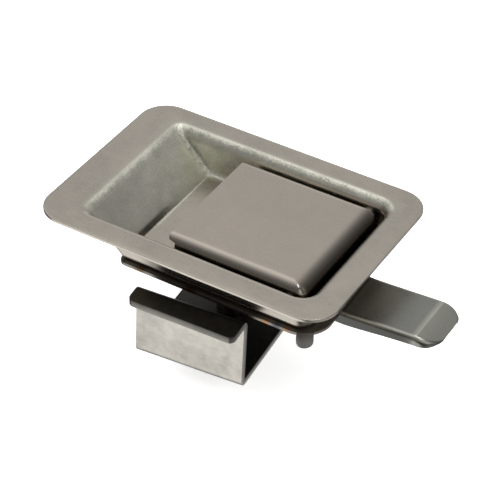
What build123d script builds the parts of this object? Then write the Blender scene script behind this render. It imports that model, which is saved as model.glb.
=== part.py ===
from build123d import *
import os
from math import cos, radians, sin, tan

# Flush paddle slam latch with a rear clamp bracket.
# Frame: origin at the middle of the mounting flange, on the underside of the flange, which is the
# face that lies on the door panel. +Z points out of the door, +X the way the bolt shoots. Millimetres.

# ---- driving dimensions ----
SHEET = 1.0                  # stainless sheet of the pan, paddle and back plate
FLANGE_LENGTH = 96.0
FLANGE_WIDTH = 67.0
FLANGE_CORNER = 9.0

DISH_RIM_LEFT = -35.5        # where the sloping finger end leaves the flange
DISH_FLOOR_LEFT = -22.5      # where the slope meets the floor
DISH_RIGHT = 38.4
DISH_HALF_WIDTH = 24.1
FLOOR_Z = -11.5              # upper face of the dish floor
SLOPE_RADIUS = 5.0
DISH_CORNER = 4.5
FLOOR_RADIUS = 2.0
RIM_RADIUS = 3.4

PADDLE_LEFT = -9.0
PADDLE_RIGHT = 36.6
PADDLE_HALF_WIDTH = 22.0
PADDLE_TOP = 0.5
PADDLE_DEPTH = 8.6
PADDLE_BEND = 2.5
PADDLE_END_BEND = 4.8        # the hinge end is turned down over a larger radius
PADDLE_NOTCH = 2.6           # the side flanges start this far in from the free edge

PIN_X = 31.0
PIN_Z = -4.5
PIN_DIAMETER = 3.0
PIN_CLEARANCE = 0.06         # radial, paddle on pin
PIN_HEAD_DIAMETER = 5.2
PIN_HEAD = 0.9
ARM_SLOT_LEFT = 18.8
ARM_SLOT_RIGHT = 30.4

PLATE_LEFT = -23.7
PLATE_RIGHT = 42.1
PLATE_HALF_WIDTH = 25.4
PLATE_CORNER = 9.0
PLATE_FINGER_CORNER = 2.5    # the corners under the finger end are tighter
PLATE_TOP = FLOOR_Z - SHEET
PLATE_BOTTOM = PLATE_TOP - SHEET
LUG_TURN = 33.0              # where on the plate's corner a lug is bent down, degrees from the side
LUG_WIDTH = 4.9
LUG_DROP = 4.8

BOLT_SHEET = 1.5
BOLT_TOP = PLATE_BOTTOM - 0.2
BOLT_HALF_WIDTH = 9.7
BOLT_DEPTH = 4.0
BOLT_REAR = -5.0
BOLT_TIP = 70.5
BOLT_TONGUE = 6.5            # flat end of the bolt beyond its side flanges
BOLT_RAMP = 13.0             # length over which the side flanges run out
BOLT_TIP_CORNER = 5.6
BOLT_DIP = 1.9               # fall of the tongue over its length, so that it rides over the strike
BOLT_BEND = 1.9
BOLT_TRAVEL = 8.0
BOLT_SLOT_LEFT = 26.4        # slot that the arm's leg pulls on
BOLT_SLOT_RIGHT = 31.0

GUIDE_SHEET = 1.2
GUIDE_REAR = -23.5
GUIDE_FRONT = 38.0
GUIDE_HALF_WIDTH = BOLT_HALF_WIDTH + 0.25
GUIDE_FLANGE = 6.0
GUIDE_FLOOR = BOLT_TOP - BOLT_DEPTH - 0.2
GUIDE_WINDOW_LEFT = 15.5     # opening in the guide's floor for the swinging arm
GUIDE_WINDOW_RIGHT = 31.0
RIVET_DIAMETER = 3.0
RIVET_INSET = 6.0            # rivets in from each end of the guide
RIVET_HEAD_DIAMETER = 5.2
RIVET_HEAD = 1.1

ARM_SHEET = 1.8
ARM_LEG_X = 27.2             # left face of the leg that passes down through the floor
ARM_HALF_WIDTH = 4.0
ARM_TIP_Z = -21.0
ARM_TAIL_LEFT = 8.0

ROD_DIAMETER = 1.8
SPRING_RADIUS = 1.7
SPRING_WIRE = 0.6
SPRING_TURNS = 9
SPRING_Z = BOLT_TOP - 2.2

STUD_X = 1.0
STUD_DIAMETER = 6.0
STUD_END = -48.0

CLAMP_SHEET = 2.2
CLAMP_LENGTH = 34.4          # across the bracket, along X
CLAMP_HALF_SPAN = 30.5       # stud to the outer face of a wall, at the web
CLAMP_HEIGHT = 24.5          # underside of the web to the top of a foot's bend
CLAMP_LEAN = 2.5             # walls lean in towards the dish, degrees
CLAMP_FOOT = 9.4             # long side of a foot; it is cut on the skew
CLAMP_FOOT_SHORT = 7.8
CLAMP_FOOT_FALL = 2.0        # feet turn down past level, degrees
CLAMP_BEND = 0.6             # inside bend radius
CLAMP_Z = -38.7              # underside of the web
CLAMP_YAW = 5.0              # the slack bracket hangs this far out of square

WASHER_THICKNESS = 1.2
LOCK_THICKNESS = 1.5
LOCK_DIAMETER = 11.2
LOCK_SPLIT = 0.5
LOCK_SPLIT_SLANT = 35.0
WASHER_DIAMETER = 12.5
NUT_HEIGHT = 5.0
NUT_ACROSS_FLATS = 10.0
THREAD_CLEARANCE = 0.06      # radial, nut on stud
COLLAR_DIAMETER = 11.0
COLLAR_HEIGHT = 3.6

os.makedirs("parts", exist_ok=True)


def save(name, shape):
    """Write one sub-part to its own STEP file."""
    export_step(shape, "parts/" + name + ".step")


def block(x0, x1, y0, y1, z0, z1):
    """A box given by its limits."""
    centre = ((x0 + x1) / 2, (y0 + y1) / 2, (z0 + z1) / 2)
    return Pos(*centre) * Box(x1 - x0, y1 - y0, z1 - z0)


def post(x, y, z0, z1, diameter):
    """A round bar standing along Z."""
    return Pos(x, y, (z0 + z1) / 2) * Cylinder(diameter / 2, z1 - z0)


def crossbar(x, z, y0, y1, diameter):
    """A round bar lying along Y."""
    return Pos(x, (y0 + y1) / 2, z) * Rot(90, 0, 0) * Cylinder(diameter / 2, y1 - y0)


def rounded_slab(length, width, corner, z0, z1):
    """A flat slab with rounded plan corners, centred on the origin."""
    outline = RectangleRounded(length, width, corner)
    return Pos(0, 0, z0) * extrude(outline, z1 - z0)


def long_edges(shape, axis, test):
    """Edges parallel to an axis whose middle passes a test."""
    return [edge for edge in shape.edges().filter_by(axis) if test(edge.center())]


# ---- pan: flange, dish and its sloping finger end ----
def dish_form(grow, top):
    """The dish as a solid block: its hollow when grow is 0, its outside when grow is the sheet."""
    slope = (DISH_RIM_LEFT - DISH_FLOOR_LEFT) / (SHEET - FLOOR_Z)
    steepness = (1 + slope * slope) ** 0.5
    floor = FLOOR_Z - grow
    left_top = DISH_FLOOR_LEFT - grow * steepness + slope * (top - FLOOR_Z)
    left_floor = DISH_FLOOR_LEFT - grow * steepness + slope * (floor - FLOOR_Z)
    right = DISH_RIGHT + grow
    half = DISH_HALF_WIDTH + grow
    profile = make_face(Polyline((left_top, top), (left_floor, floor), (right, floor), (right, top), close=True))
    knee = profile.vertices().sort_by(Axis.X)
    knee = [vertex for vertex in knee if abs(vertex.X - left_floor) < 0.01 and abs(vertex.Y - floor) < 0.01]
    profile = fillet(knee, SLOPE_RADIUS + grow)
    form = Pos(0, half, 0) * Rot(90, 0, 0) * extrude(profile, 2 * half)
    form = fillet(long_edges(form, Axis.Z, lambda c: c.X > right - 0.01), DISH_CORNER + grow)

    def on_walls(edge):
        centre = edge.center()
        along_side = abs(abs(centre.Y) - half) < 0.01 and centre.Z < top - 0.01 and centre.X < right - DISH_CORNER
        along_floor = abs(centre.Z - floor) < 0.01 and centre.X > left_floor + 3 * SLOPE_RADIUS
        return along_side or along_floor

    return fillet([edge for edge in form.edges() if on_walls(edge)], FLOOR_RADIUS + grow)


def make_pan():
    outside = rounded_slab(FLANGE_LENGTH, FLANGE_WIDTH, FLANGE_CORNER, 0, SHEET) + dish_form(SHEET, SHEET / 2)

    def inside_border(edge, height):
        """True for an edge of the dish opening at this height, not one of the flange's outline."""
        centre = edge.center()
        return abs(centre.Z - height) < 0.01 and abs(centre.X) < DISH_RIGHT + 2 and abs(centre.Y) < DISH_HALF_WIDTH + 2

    outside = fillet([edge for edge in outside.edges() if inside_border(edge, 0)], RIM_RADIUS - SHEET)
    pan = outside - dish_form(0, 3 * SHEET)
    pan = fillet([edge for edge in pan.edges() if inside_border(edge, SHEET)], RIM_RADIUS)
    pan -= crossbar(PIN_X, PIN_Z, -FLANGE_WIDTH, FLANGE_WIDTH, PIN_DIAMETER)
    return pan - arm_slot(FLOOR_Z - 2 * SHEET, FLOOR_Z + SHEET)


def arm_slot(z0, z1):
    """Slot through the floor and back plate for the paddle's arm as it swings."""
    half = ARM_HALF_WIDTH + 1.0
    return block(ARM_SLOT_LEFT, ARM_SLOT_RIGHT, -half, half, z0, z1)


def make_lug(side):
    """Round-ended lug bent down from the plate's rounded corner, facing out along the corner's normal."""
    turn = radians(LUG_TURN)
    x = PLATE_RIGHT - PLATE_CORNER + PLATE_CORNER * sin(turn)
    y = PLATE_HALF_WIDTH - PLATE_CORNER + PLATE_CORNER * cos(turn)
    half = LUG_WIDTH / 2
    lug_end = PLATE_BOTTOM - LUG_DROP + half
    lug = block(-half, half, -SHEET, 0, lug_end, PLATE_TOP) + crossbar(0, lug_end, -SHEET, 0, LUG_WIDTH)
    lug = Pos(x, y, 0) * Rot(0, 0, -LUG_TURN) * lug
    return lug if side > 0 else mirror(lug, Plane.XZ)


def make_back_plate():
    plate = block(PLATE_LEFT, PLATE_RIGHT, -PLATE_HALF_WIDTH, PLATE_HALF_WIDTH, PLATE_BOTTOM, PLATE_TOP)
    plate = fillet(long_edges(plate, Axis.Z, lambda c: c.X > 0), PLATE_CORNER)
    plate = fillet(long_edges(plate, Axis.Z, lambda c: c.X < 0), PLATE_FINGER_CORNER)
    for side in (-1, 1):
        plate += make_lug(side)
    plate -= arm_slot(PLATE_BOTTOM - SHEET, PLATE_TOP + SHEET)
    for x, y in rivet_places():
        plate -= post(x, y, PLATE_BOTTOM - 1, PLATE_TOP + 1, RIVET_DIAMETER)
    return plate


def rivet_places():
    """The four rivets that hold the guide to the back plate."""
    y = GUIDE_HALF_WIDTH + GUIDE_SHEET + GUIDE_FLANGE / 2
    return [(x, side * y) for x in (GUIDE_REAR + RIVET_INSET, GUIDE_FRONT - RIVET_INSET) for side in (-1, 1)]


# ---- bolt guide under the plate ----
def make_guide():
    outer = GUIDE_HALF_WIDTH + GUIDE_SHEET
    guide = block(GUIDE_REAR, GUIDE_FRONT, -outer - GUIDE_FLANGE, outer + GUIDE_FLANGE,
                  PLATE_BOTTOM - GUIDE_SHEET, PLATE_BOTTOM)
    guide += block(GUIDE_REAR, GUIDE_FRONT, -outer, outer, GUIDE_FLOOR - GUIDE_SHEET, PLATE_BOTTOM)
    guide = fillet(long_edges(guide, Axis.X, lambda c: c.Z < GUIDE_FLOOR), 1.6)
    guide -= block(GUIDE_REAR + GUIDE_SHEET, GUIDE_FRONT + 1, -GUIDE_HALF_WIDTH, GUIDE_HALF_WIDTH,
                   GUIDE_FLOOR, PLATE_BOTTOM + 1)
    window_half = ARM_HALF_WIDTH + 1.5
    guide -= block(GUIDE_WINDOW_LEFT, GUIDE_WINDOW_RIGHT, -window_half, window_half,
                   GUIDE_FLOOR - 2 * GUIDE_SHEET, GUIDE_FLOOR + 0.5)
    guide -= Pos(GUIDE_REAR, 0, SPRING_Z) * Rot(0, 90, 0) * Cylinder(ROD_DIAMETER / 2, 6)
    corners = long_edges(guide, Axis.Z, lambda c: abs(c.Y) > outer + GUIDE_FLANGE - 0.01)
    guide = fillet(corners, 2.0)
    for x, y in rivet_places():
        guide -= post(x, y, PLATE_BOTTOM - 3, PLATE_BOTTOM + 1, RIVET_DIAMETER)
    return guide


def make_rivets():
    """Shank through the guide flange and plate, with a low head under the flange."""
    rivets = []
    for x, y in rivet_places():
        under = PLATE_BOTTOM - GUIDE_SHEET
        rivet = post(x, y, under, PLATE_TOP, RIVET_DIAMETER)
        head = post(x, y, under - RIVET_HEAD, under, RIVET_HEAD_DIAMETER)
        head = fillet(head.edges().sort_by(Axis.Z)[0], 0.9)
        rivets.append(rivet + head)
    return Compound(children=rivets)


def make_guide_rod():
    tail = 0.8
    rod_end = BOLT_REAR - BOLT_TRAVEL + 4.5
    rod = Pos((GUIDE_REAR + rod_end) / 2, 0, SPRING_Z) * Rot(0, 90, 0)
    rod = rod * Cylinder(ROD_DIAMETER / 2, rod_end - GUIDE_REAR)
    head = Pos(GUIDE_REAR - tail / 2, 0, SPRING_Z) * Rot(0, 90, 0) * Cylinder(ROD_DIAMETER, tail)
    return rod + head


def make_bolt_spring():
    start = GUIDE_REAR + GUIDE_SHEET + SPRING_WIRE / 2 + 0.1
    end = BOLT_REAR - SPRING_WIRE / 2 - 0.1
    path = Helix((end - start) / SPRING_TURNS, end - start, SPRING_RADIUS)
    section = Plane(path @ 0, z_dir=path % 0) * Circle(SPRING_WIRE / 2)
    return Pos(start, 0, SPRING_Z) * Rot(0, 90, 0) * sweep(section, path, is_frenet=True)


# ---- bolt ----
def make_bolt():
    flange_end = BOLT_TIP - BOLT_TONGUE
    bottom = BOLT_TOP - BOLT_DEPTH
    plate_under = BOLT_TOP - BOLT_SHEET
    bolt = block(BOLT_REAR, flange_end, -BOLT_HALF_WIDTH, BOLT_HALF_WIDTH, bottom, BOLT_TOP)
    bolt = fillet(long_edges(bolt, Axis.X, lambda c: c.Z > BOLT_TOP - 0.01), BOLT_BEND)
    inner_half = BOLT_HALF_WIDTH - BOLT_SHEET
    channel = block(BOLT_REAR - 1, flange_end + 1, -inner_half, inner_half, bottom - 1, plate_under)
    channel = fillet(long_edges(channel, Axis.X, lambda c: c.Z > bottom), BOLT_BEND - BOLT_SHEET)
    bolt -= channel
    tongue_half = BOLT_HALF_WIDTH - 0.15
    lap = 1.0
    side_view = Polyline(
        (flange_end - lap, BOLT_TOP),
        (flange_end, BOLT_TOP),
        (BOLT_TIP, BOLT_TOP - BOLT_DIP),
        (BOLT_TIP, plate_under - BOLT_DIP),
        (flange_end, plate_under),
        (flange_end - lap, plate_under),
        close=True,
    )
    outline = block(flange_end - lap, BOLT_TIP, -tongue_half, tongue_half, bottom, BOLT_TOP + 1)
    outline = fillet(long_edges(outline, Axis.Z, lambda c: c.X > BOLT_TIP - 0.01), BOLT_TIP_CORNER)
    tongue = outline & Pos(0, BOLT_HALF_WIDTH, 0) * extrude(Plane.XZ * make_face(side_view), 2 * BOLT_HALF_WIDTH)
    # The side flanges run out in a curve towards the tongue.
    ramp_start = flange_end - BOLT_RAMP
    with BuildSketch(Plane.XZ) as ramp:
        with BuildLine():
            run_out = Spline(
                (ramp_start, bottom),
                (flange_end, plate_under),
                tangents=((1, 0.08), (1, 0.35)),
            )
            Polyline(run_out @ 1, (BOLT_TIP + 2, plate_under), (BOLT_TIP + 2, bottom - 2), (ramp_start, bottom - 2),
                     run_out @ 0)
        make_face()
    bolt -= Pos(0, 2 * BOLT_HALF_WIDTH, 0) * extrude(ramp.sketch, 4 * BOLT_HALF_WIDTH)
    bolt += tongue
    tab_half = 5.0
    bolt += block(BOLT_REAR, BOLT_REAR + BOLT_SHEET, -tab_half, tab_half, bottom, plate_under + 0.2)
    rod_room = 2 * (BOLT_TRAVEL + 1)
    bolt -= Pos(BOLT_REAR, 0, SPRING_Z) * Rot(0, 90, 0) * Cylinder(ROD_DIAMETER / 2 + 0.3, rod_room)
    slot_half = ARM_HALF_WIDTH + 0.6
    return bolt - block(BOLT_SLOT_LEFT, BOLT_SLOT_RIGHT, -slot_half, slot_half, bottom, BOLT_TOP + 1)


# ---- paddle ----
def paddle_form(inset):
    """The paddle as a solid block, drawn in from its outer faces by inset."""
    left = PADDLE_LEFT - 2 * inset
    right = PADDLE_RIGHT - inset
    top = PADDLE_TOP - inset
    bottom = PADDLE_TOP - PADDLE_DEPTH - 2 * inset
    half = PADDLE_HALF_WIDTH - inset
    profile = make_face(Polyline((left, top), (right, top), (right, bottom), (left, bottom), close=True))
    hinge_end = [v for v in profile.vertices() if v.X > right - 0.01 and v.Y > top - 0.01]
    profile = fillet(hinge_end, PADDLE_END_BEND - inset)
    form = Pos(0, half, 0) * Rot(90, 0, 0) * extrude(profile, 2 * half)

    def rounded(edge):
        centre = edge.center()
        return abs(centre.Y) > half - 0.01 and centre.Z > bottom + 0.01 and centre.X > left + 0.01

    return fillet([edge for edge in form.edges() if rounded(edge)], PADDLE_BEND - inset)


def make_paddle():
    half = PADDLE_HALF_WIDTH
    bottom = PADDLE_TOP - PADDLE_DEPTH
    outer = paddle_form(0)
    inner = paddle_form(SHEET)
    paddle = outer - inner
    notch = PADDLE_LEFT + PADDLE_NOTCH
    skirt_top = PADDLE_TOP - PADDLE_BEND
    notch_height = 0.9
    paddle -= block(PADDLE_LEFT - 1, notch, -half - 1, half + 1, bottom - 1, skirt_top + notch_height)
    # Each side flange is clipped at its free end, and the free corners of the plate are rounded.
    clip = 5.0
    paddle -= Pos(notch, 0, bottom) * Rot(0, 45, 0) * Box(clip, 2 * half + 4, clip)
    corner = 2.0
    for side in (-1, 1):
        y0, y1 = sorted((side * (half - corner), side * (half + 1)))
        waste = block(PADDLE_LEFT - 1, PADDLE_LEFT + corner, y0, y1, bottom, PADDLE_TOP + 1)
        waste -= post(PADDLE_LEFT + corner, side * (half - corner), bottom - 1, PADDLE_TOP + 2, 2 * corner)
        paddle -= waste
    bore = PIN_DIAMETER + 2 * PIN_CLEARANCE
    return paddle - crossbar(PIN_X, PIN_Z, -half - 2, half + 2, bore)


def make_arm():
    """Strip welded under the paddle, bent down through the floor into the bolt."""
    top = PADDLE_TOP - SHEET
    tail_half = 6.0
    arm = block(ARM_TAIL_LEFT, ARM_LEG_X + ARM_SHEET, -tail_half, tail_half, top - ARM_SHEET, top)
    arm += block(ARM_LEG_X, ARM_LEG_X + ARM_SHEET, -ARM_HALF_WIDTH, ARM_HALF_WIDTH, ARM_TIP_Z, top)
    arm = fillet(long_edges(arm, Axis.Y, lambda c: c.X > ARM_LEG_X + ARM_SHEET - 0.01 and c.Z > top - 0.01), 1.6)
    tip_corners = [
        edge for edge in arm.edges().filter_by(Axis.X)
        if edge.center().Z < ARM_TIP_Z + 0.01 and abs(edge.center().Y) > ARM_HALF_WIDTH - 0.01
    ]
    return fillet(tip_corners, 1.5)


def make_pin():
    wall = DISH_HALF_WIDTH + SHEET
    clip_room = 2.2
    pin = crossbar(PIN_X, PIN_Z, -wall, wall + clip_room, PIN_DIAMETER)
    head = crossbar(PIN_X, PIN_Z, -wall - PIN_HEAD, -wall, PIN_HEAD_DIAMETER)
    head = fillet(head.edges().sort_by(Axis.Y)[0], 0.4)
    groove = crossbar(PIN_X, PIN_Z, wall + 0.15, wall + 0.85, PIN_DIAMETER + 2)
    groove -= crossbar(PIN_X, PIN_Z, wall, wall + 1, PIN_DIAMETER - 0.8)
    return pin + head - groove


def make_clip():
    """Open retaining clip in the pin's groove, behind the rear wall."""
    wall = DISH_HALF_WIDTH + SHEET
    clip = crossbar(PIN_X, PIN_Z, wall + 0.2, wall + 0.8, 6.4)
    clip -= crossbar(PIN_X, PIN_Z, wall, wall + 1, PIN_DIAMETER - 0.75)
    mouth = PIN_DIAMETER - 1.2
    return clip - block(PIN_X - mouth / 2, PIN_X + mouth / 2, wall, wall + 1, PIN_Z - 5, PIN_Z)


def make_paddle_spring():
    """Torsion spring on the hinge pin: one leg on the floor, one leg under the paddle."""
    wire = 0.8
    coil = 2.4
    pitch = 1.0
    quarter_turns = 18
    leg = 10.0
    elbow = 0.08             # the wire is a touch thicker where a leg leaves the coil
    lap = 0.1
    quarter = Helix(pitch, pitch / 4, coil)
    piece = sweep(Plane(quarter @ 0, z_dir=quarter % 0) * Circle(wire / 2), quarter, is_frenet=True)
    spring = piece
    for k in range(1, quarter_turns):
        spring += Pos(0, 0, k * pitch / 4) * Rot(0, 0, 90 * k) * piece
    path = Helix(pitch, quarter_turns * pitch / 4, coil)
    for end, way in ((0, -1), (1, 1)):
        spring += Pos(*(path @ end)) * Sphere(wire / 2 + elbow)
        middle = (path @ end) + (path % end) * (way * (leg / 2 - lap))
        spring += Plane(middle, z_dir=path % end) * Cylinder(wire / 2, leg)
    # The coil axis lies along the hinge, with both legs reaching towards the finger end.
    start = ARM_HALF_WIDTH + 4.0
    return Pos(PIN_X, start, PIN_Z) * Rot(-90, 0, 0) * Rot(0, 0, -90) * spring


# ---- clamp bracket on its stud ----
def make_stud():
    under = GUIDE_FLOOR - GUIDE_SHEET
    stud = post(STUD_X, 0, STUD_END, under, STUD_DIAMETER)
    stud = chamfer(stud.edges().sort_by(Axis.Z)[0], 0.7)
    weld_foot = post(STUD_X, 0, under - 0.8, under, STUD_DIAMETER + 3)
    return stud + fillet(weld_foot.edges().sort_by(Axis.Z)[0], 0.5)


def in_clamp(shape):
    """Move a solid drawn about the web's underside to the bracket's slack position."""
    return Pos(STUD_X, 0, CLAMP_Z) * Rot(0, 0, CLAMP_YAW) * shape


def make_bracket():
    lean = radians(CLAMP_LEAN)
    fall = radians(CLAMP_FOOT_FALL)
    height = CLAMP_HEIGHT - CLAMP_SHEET
    wall_top = (CLAMP_HALF_SPAN - height * tan(lean), height)
    untrimmed = 1.3 * CLAMP_FOOT
    foot_end = (wall_top[0] + untrimmed * cos(fall), wall_top[1] - untrimmed * sin(fall))
    right = [(CLAMP_HALF_SPAN, 0), wall_top, foot_end]
    left = [(-y, z) for y, z in reversed(right)]
    outer_bend = CLAMP_BEND + CLAMP_SHEET
    route = FilletPolyline(*(left + right), radius=[CLAMP_BEND, outer_bend, outer_bend, CLAMP_BEND])
    profile = make_face(route.offset_2d(-CLAMP_SHEET, side=Side.LEFT, closed=True))
    half = CLAMP_LENGTH / 2
    bracket = Pos(-half, 0, 0) * extrude(Plane.YZ * profile, CLAMP_LENGTH)
    # Both feet are trimmed on the skew, so each is longer at one end.
    skew = (CLAMP_FOOT - CLAMP_FOOT_SHORT) / CLAMP_LENGTH
    trim_mid = wall_top[0] - CLAMP_SHEET + (CLAMP_FOOT + CLAMP_FOOT_SHORT) / 2 * cos(fall)
    for side in (-1, 1):
        far = side * 2 * CLAMP_HALF_SPAN
        waste = Polyline(
            (-CLAMP_LENGTH, side * trim_mid + skew * CLAMP_LENGTH),
            (CLAMP_LENGTH, side * trim_mid - skew * CLAMP_LENGTH),
            (CLAMP_LENGTH, far),
            (-CLAMP_LENGTH, far),
            close=True,
        )
        bracket -= extrude(make_face(waste), 2 * CLAMP_HEIGHT)
    foot_corners = [
        edge for edge in bracket.edges()
        if abs(edge.center().Y) > trim_mid - 3 and edge.length < 2 * CLAMP_SHEET
        and abs(edge.center().X) > half - 0.01
    ]
    bracket = fillet(foot_corners, 1.5)
    bracket -= post(0, 0, -1, CLAMP_SHEET + 1, COLLAR_DIAMETER - 2)
    return in_clamp(bracket)


def make_collar():
    """Round collar staked through the web; the stud runs loosely through it."""
    bore = STUD_DIAMETER + 0.5
    collar = post(STUD_X, 0, CLAMP_Z + CLAMP_SHEET, CLAMP_Z + CLAMP_SHEET + COLLAR_HEIGHT, COLLAR_DIAMETER)
    collar = fillet(collar.edges().sort_by(Axis.Z)[-1], 0.5)
    collar += post(STUD_X, 0, CLAMP_Z, CLAMP_Z + CLAMP_SHEET, COLLAR_DIAMETER - 2)
    return collar - post(STUD_X, 0, CLAMP_Z - 1, CLAMP_Z + CLAMP_SHEET + COLLAR_HEIGHT + 1, bore)


def ring(z_top, thickness, outside):
    """A washer on the stud, hanging below the height given."""
    bore = STUD_DIAMETER + 0.4
    return post(STUD_X, 0, z_top - thickness, z_top, outside) - post(STUD_X, 0, z_top - 9, z_top + 1, bore)


def make_washers():
    """Plain washer, split lock washer and nut, from the web downwards."""
    plain = ring(CLAMP_Z, WASHER_THICKNESS, WASHER_DIAMETER)
    lock_top = CLAMP_Z - WASHER_THICKNESS
    lock = ring(lock_top, LOCK_THICKNESS, LOCK_DIAMETER)
    split = Pos(STUD_X + 0.4 * LOCK_DIAMETER, 0, lock_top - LOCK_THICKNESS / 2) * Rot(LOCK_SPLIT_SLANT, 0, 0)
    split = split * Box(0.4 * LOCK_DIAMETER, LOCK_SPLIT, 3 * LOCK_THICKNESS)
    return plain, lock - split


def make_nut():
    nut_top = CLAMP_Z - WASHER_THICKNESS - LOCK_THICKNESS
    corner_radius = NUT_ACROSS_FLATS / 2 / cos(radians(30))
    nut = Pos(STUD_X, 0, nut_top - NUT_HEIGHT) * extrude(RegularPolygon(corner_radius, 6), NUT_HEIGHT)
    # Both faces of the nut have turned-off corners.
    turned = post(STUD_X, 0, nut_top - NUT_HEIGHT, nut_top, 2 * corner_radius + 0.2)
    turned = chamfer(turned.edges().filter_by(GeomType.CIRCLE), 0.45, 0.8)
    bore = STUD_DIAMETER + 2 * THREAD_CLEARANCE
    return (nut & turned) - post(STUD_X, 0, nut_top - 2 * NUT_HEIGHT, nut_top + 1, bore)


def main():
    save("pan", make_pan())
    save("back_plate", make_back_plate())
    save("bolt_guide", make_guide())
    save("guide_rivets", make_rivets())
    save("guide_rod", make_guide_rod())
    save("bolt_spring", make_bolt_spring())
    save("latch_bolt", make_bolt())
    save("paddle", make_paddle())
    save("paddle_arm", make_arm())
    save("hinge_pin", make_pin())
    save("pin_clip", make_clip())
    save("paddle_spring", make_paddle_spring())
    save("clamp_stud", make_stud())
    save("clamp_bracket", make_bracket())
    save("clamp_collar", make_collar())
    plain, lock = make_washers()
    save("plain_washer", plain)
    save("lock_washer", lock)
    save("clamp_nut", make_nut())


if __name__ == "__main__":
    main()
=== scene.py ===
import math

import bmesh
import bpy
from mathutils import Matrix, Vector, noise


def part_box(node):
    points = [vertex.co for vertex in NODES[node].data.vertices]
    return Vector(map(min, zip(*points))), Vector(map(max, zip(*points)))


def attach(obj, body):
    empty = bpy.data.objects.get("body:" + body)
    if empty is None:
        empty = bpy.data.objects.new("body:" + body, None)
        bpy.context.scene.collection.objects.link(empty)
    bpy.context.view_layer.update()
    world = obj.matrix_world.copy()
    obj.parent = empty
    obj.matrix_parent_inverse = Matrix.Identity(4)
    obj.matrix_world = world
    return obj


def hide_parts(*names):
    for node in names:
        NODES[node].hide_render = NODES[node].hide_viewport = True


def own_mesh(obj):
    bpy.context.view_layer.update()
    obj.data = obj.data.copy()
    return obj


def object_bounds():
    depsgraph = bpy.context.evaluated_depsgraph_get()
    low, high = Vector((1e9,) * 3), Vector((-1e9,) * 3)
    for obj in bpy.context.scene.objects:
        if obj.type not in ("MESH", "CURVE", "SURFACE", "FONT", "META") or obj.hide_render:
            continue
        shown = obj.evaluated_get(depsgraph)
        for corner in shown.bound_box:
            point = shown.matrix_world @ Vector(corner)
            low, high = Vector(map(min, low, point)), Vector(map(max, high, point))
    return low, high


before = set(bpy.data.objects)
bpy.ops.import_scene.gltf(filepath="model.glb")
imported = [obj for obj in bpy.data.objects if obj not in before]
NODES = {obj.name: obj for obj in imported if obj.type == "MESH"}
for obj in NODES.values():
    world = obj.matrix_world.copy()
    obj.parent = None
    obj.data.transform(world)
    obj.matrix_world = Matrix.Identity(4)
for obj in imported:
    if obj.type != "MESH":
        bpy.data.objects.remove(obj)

CAD_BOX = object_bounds()
MM = 0.001
WELD = 0.001 * MM            # points closer than this are one point


# ---------------------------------------------------------------- helpers
def box_mm(node):
    """Lowest and highest corner of a CAD node, in millimetres."""
    low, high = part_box(node)
    return low / MM, high / MM


def add_object(name, mesh, body, replaced=None):
    """Links a finished mesh as a piece that rides on a CAD body."""
    piece = bpy.data.objects.new(name, mesh)
    bpy.context.scene.collection.objects.link(piece)
    for polygon in mesh.polygons:
        polygon.use_smooth = True
    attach(piece, body)
    if replaced:
        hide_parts(replaced)
    return piece


def mesh_piece(name, points, faces, body, replaced=None):
    """A new piece from points in millimetres."""
    mesh = bpy.data.meshes.new(name)
    mesh.from_pydata([tuple(MM * c for c in p) for p in points], [], faces)
    mesh.validate()
    return add_object(name, mesh, body, replaced)


def grid_faces(rows, closed):
    """Quads between neighbouring rows of equal length, numbered row after row."""
    faces = []
    count = len(rows[0])
    for i in range(len(rows) - 1):
        for j in range(count if closed else count - 1):
            k = (j + 1) % count
            faces.append((i * count + j, i * count + k, (i + 1) * count + k, (i + 1) * count + j))
    return faces


def face_up(piece, closed=False):
    """Joins coincident points, and turns normals outward on a closed piece or upward on an open sheet."""
    bm = bmesh.new()
    bm.from_mesh(piece.data)
    bmesh.ops.remove_doubles(bm, verts=bm.verts, dist=WELD)
    bmesh.ops.delete(bm, geom=[v for v in bm.verts if not v.link_faces], context="VERTS")
    bmesh.ops.recalc_face_normals(bm, faces=bm.faces)
    if not closed and sum(f.normal.z * f.calc_area() for f in bm.faces) < 0:
        bmesh.ops.reverse_faces(bm, faces=bm.faces)
    bm.to_mesh(piece.data)
    bm.free()


def thicken(piece, thickness, edge, segments=2, offset=-1):
    """Sheet metal: gives a surface thickness, behind it at offset -1 or before it at 1, and breaks edges."""
    solid = piece.modifiers.new("thickness", "SOLIDIFY")
    solid.thickness = thickness * MM
    solid.offset = offset
    solid.use_even_offset = True
    solid.use_quality_normals = True
    soften(piece, edge, segments)


def soften(piece, width, segments=2, angle=50):
    bevel = piece.modifiers.new("edges", "BEVEL")
    bevel.width = width * MM
    bevel.segments = segments
    bevel.limit_method = "ANGLE"
    bevel.angle_limit = math.radians(angle)
    bevel.use_clamp_overlap = True


def settle(piece, sharp=38):
    """Applies the modifiers and marks the edges that stay crisp."""
    bpy.context.view_layer.update()
    seen = piece.evaluated_get(bpy.context.evaluated_depsgraph_get())
    mesh = bpy.data.meshes.new_from_object(seen)
    piece.modifiers.clear()
    old = piece.data
    piece.data = mesh
    mesh.name = piece.name
    bpy.data.meshes.remove(old)
    for polygon in mesh.polygons:
        polygon.use_smooth = True
    mesh.set_sharp_from_angle(angle=math.radians(sharp))
    return piece


def store(piece, name, value_at):
    """Point attribute worked out from each point's place in millimetres."""
    attribute = piece.data.attributes.new(name, "FLOAT", "POINT")
    for vertex in piece.data.vertices:
        attribute.data[vertex.index].value = value_at(vertex.co / MM)


def steps(start, end, count):
    """count + 1 evenly spaced values."""
    return [start + (end - start) * i / count for i in range(count + 1)]


def mix(a, b, t):
    return a + (b - a) * t


def ease(t):
    t = min(1.0, max(0.0, t))
    return t * t * (3 - 2 * t)


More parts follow.
